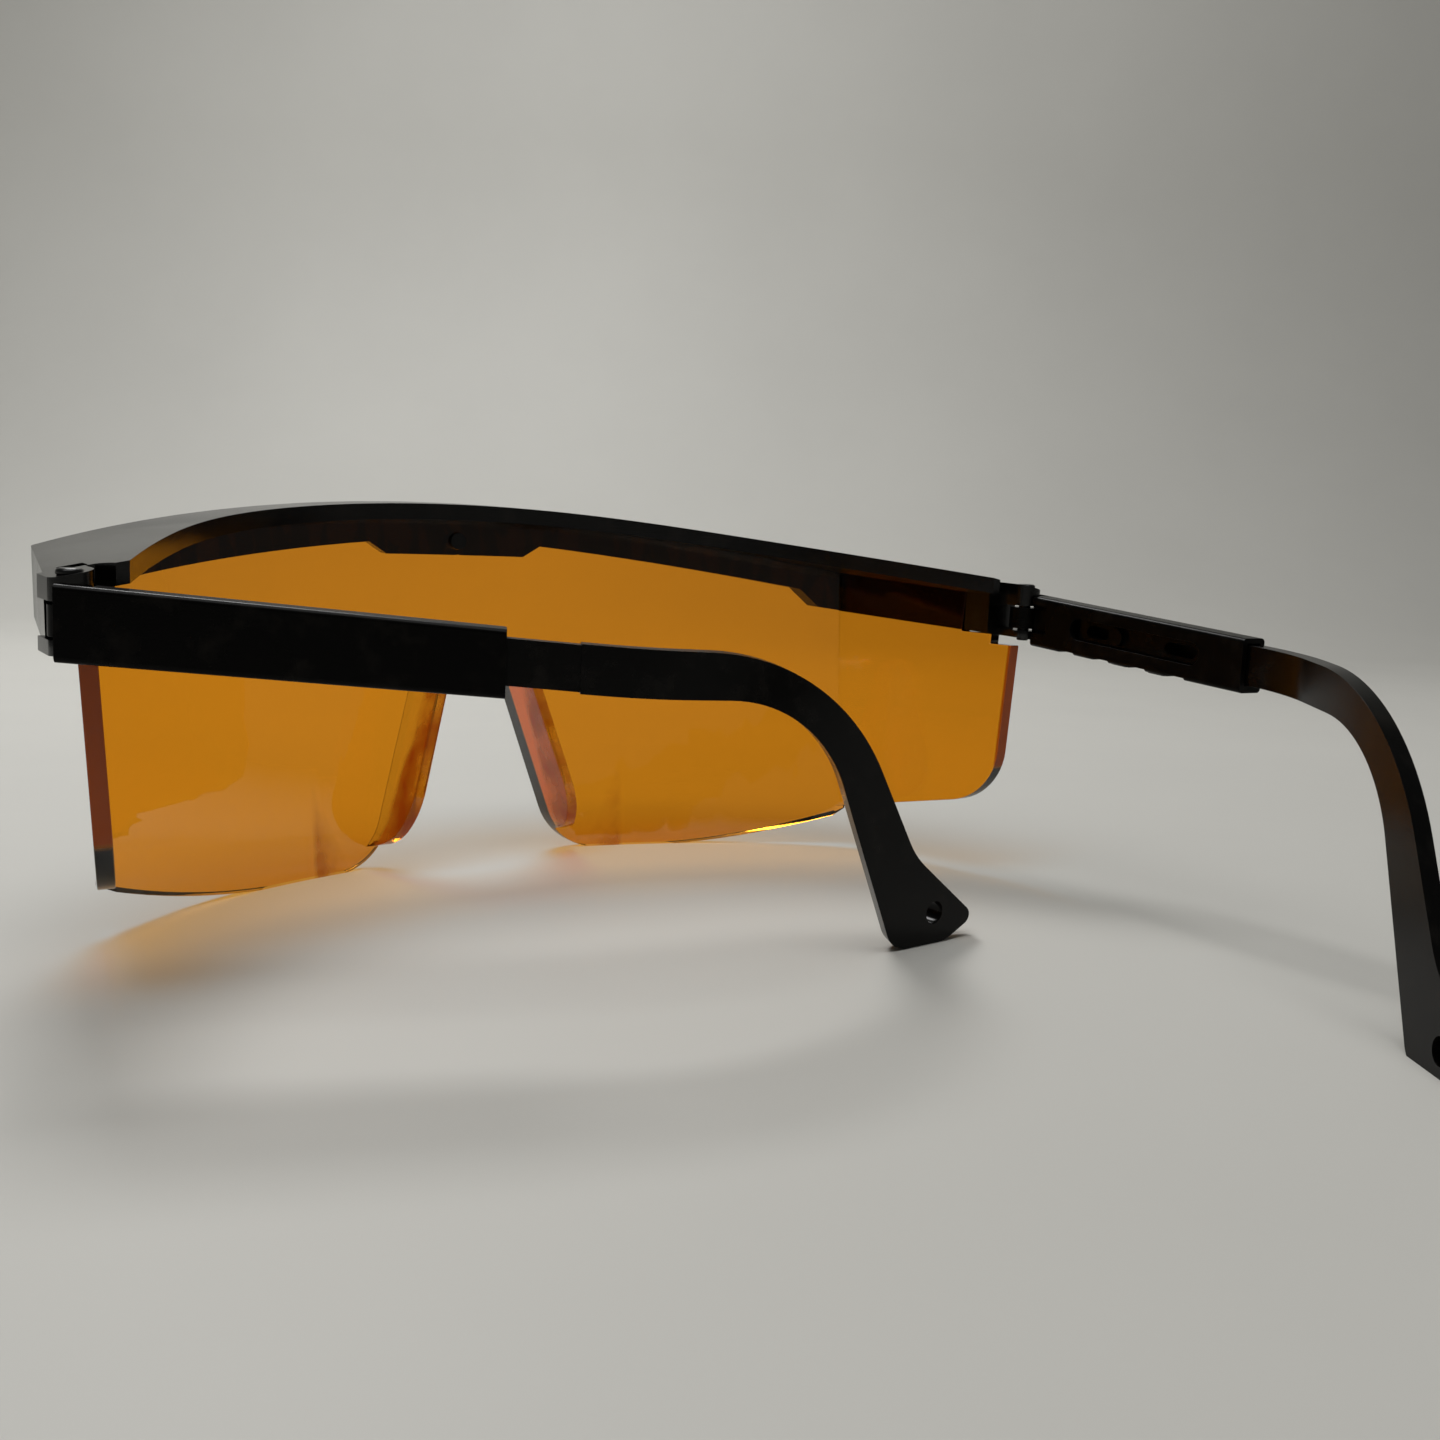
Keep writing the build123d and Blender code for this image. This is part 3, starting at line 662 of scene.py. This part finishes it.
def paper_sweep(material):
    """A floor that curves up into a backdrop, beyond the glasses."""
    near, far, rise, bend = 1.2, -0.9, 1.4, 0.35
    steps = 16
    profile = [(near, 0.0), (far + bend, 0.0)]
    for step in range(1, steps + 1):
        angle = step / steps * pi / 2
        profile.append((far + bend - bend * sin(angle), bend - bend * cos(angle)))
    profile.append((far, rise))
    half = 1.8
    across = Vector((0.807, -0.59, 0.0)).normalized()
    ahead = Vector((0.59, 0.807, 0.0)).normalized()
    work = bmesh.new()
    rows = []
    for along, up in profile:
        ends = [ahead * along + across * side * half for side in (-1, 1)]
        rows.append([work.verts.new((end.x, end.y, floor_height(end) + up)) for end in ends])
    for first, second in zip(rows, rows[1:]):
        work.faces.new((first[0], first[1], second[1], second[0]))
    bmesh.ops.recalc_face_normals(work, faces=work.faces)
    mesh = bpy.data.meshes.new("paper_sweep")
    work.to_mesh(mesh)
    work.free()
    mesh.polygons.foreach_set("use_smooth", [True] * len(mesh.polygons))
    mesh.materials.append(material)
    sweep = bpy.data.objects.new("paper_sweep", mesh)
    bpy.context.scene.collection.objects.link(sweep)
    return sweep


def soft_light(name, place, target, size, power):
    """A square soft box that faces a point."""
    lamp = bpy.data.lights.new(name, "AREA")
    lamp.shape = "SQUARE"
    lamp.size = size
    lamp.energy = power
    holder = bpy.data.objects.new(name, lamp)
    holder.location = place
    holder.rotation_euler = (Vector(target) - Vector(place)).to_track_quat("-Z", "Y").to_euler()
    bpy.context.scene.collection.objects.link(holder)


def place_camera(look):
    """The camera, from its heading, pitch and roll."""
    heading, pitch, roll = look.turn
    back = Vector((sin(heading) * cos(pitch), -cos(heading) * cos(pitch), sin(pitch)))
    right = Vector((cos(heading), sin(heading), 0.0))
    up = back.cross(right)
    across = cos(roll) * right + sin(roll) * up
    upward = -sin(roll) * right + cos(roll) * up
    camera = bpy.data.objects.new("Camera", bpy.data.cameras.new("Camera"))
    camera.data.sensor_width = 36.0
    camera.data.lens = look.focal_length
    camera.data.clip_start = 0.01
    camera.matrix_world = Matrix.Translation(look.eye) @ Matrix((across, upward, back)).transposed().to_4x4()
    bpy.context.scene.collection.objects.link(camera)
    bpy.context.scene.camera = camera


# ---- panel and registration ----


class GLASSES_PT_panel(bpy.types.Panel):
    """Lists the pieces and their settings"""

    bl_idname = "GLASSES_PT_panel"
    bl_label = "Safety Glasses"
    bl_space_type = "VIEW_3D"
    bl_region_type = "UI"
    bl_category = "Glasses"

    def draw(self, context):
        for group in SETTINGS:
            box = self.layout.box()
            for name in SETTINGS[group].__annotations__:
                box.prop(getattr(context.scene, group), name)
        for operator in BUILDERS:
            self.layout.operator(operator.bl_idname)


SETTINGS = {
    "glasses_frame": FrameSettings,
    "glasses_ribs": RibSettings,
    "glasses_lens": LensSettings,
    "glasses_stage": StageSettings,
}
BUILDERS = (
    GLASSES_OT_brow,
    GLASSES_OT_lens,
    GLASSES_OT_sleeves,
    GLASSES_OT_ribs,
    GLASSES_OT_ears,
    GLASSES_OT_stage,
)


def register():
    for group, settings in SETTINGS.items():
        bpy.utils.register_class(settings)
        setattr(bpy.types.Scene, group, PointerProperty(type=settings))
    for operator in BUILDERS:
        bpy.utils.register_class(operator)
    bpy.utils.register_class(GLASSES_PT_panel)


def unregister():
    bpy.utils.unregister_class(GLASSES_PT_panel)
    for operator in reversed(BUILDERS):
        bpy.utils.unregister_class(operator)
    for group, settings in SETTINGS.items():
        delattr(bpy.types.Scene, group)
        bpy.utils.unregister_class(settings)


def main():
    register()
    bpy.ops.glasses.brow()
    bpy.ops.glasses.lens()
    bpy.ops.glasses.sleeves()
    bpy.ops.glasses.ribs()
    bpy.ops.glasses.ears()
    bpy.ops.glasses.stage()


if __name__ == "__main__":
    main()
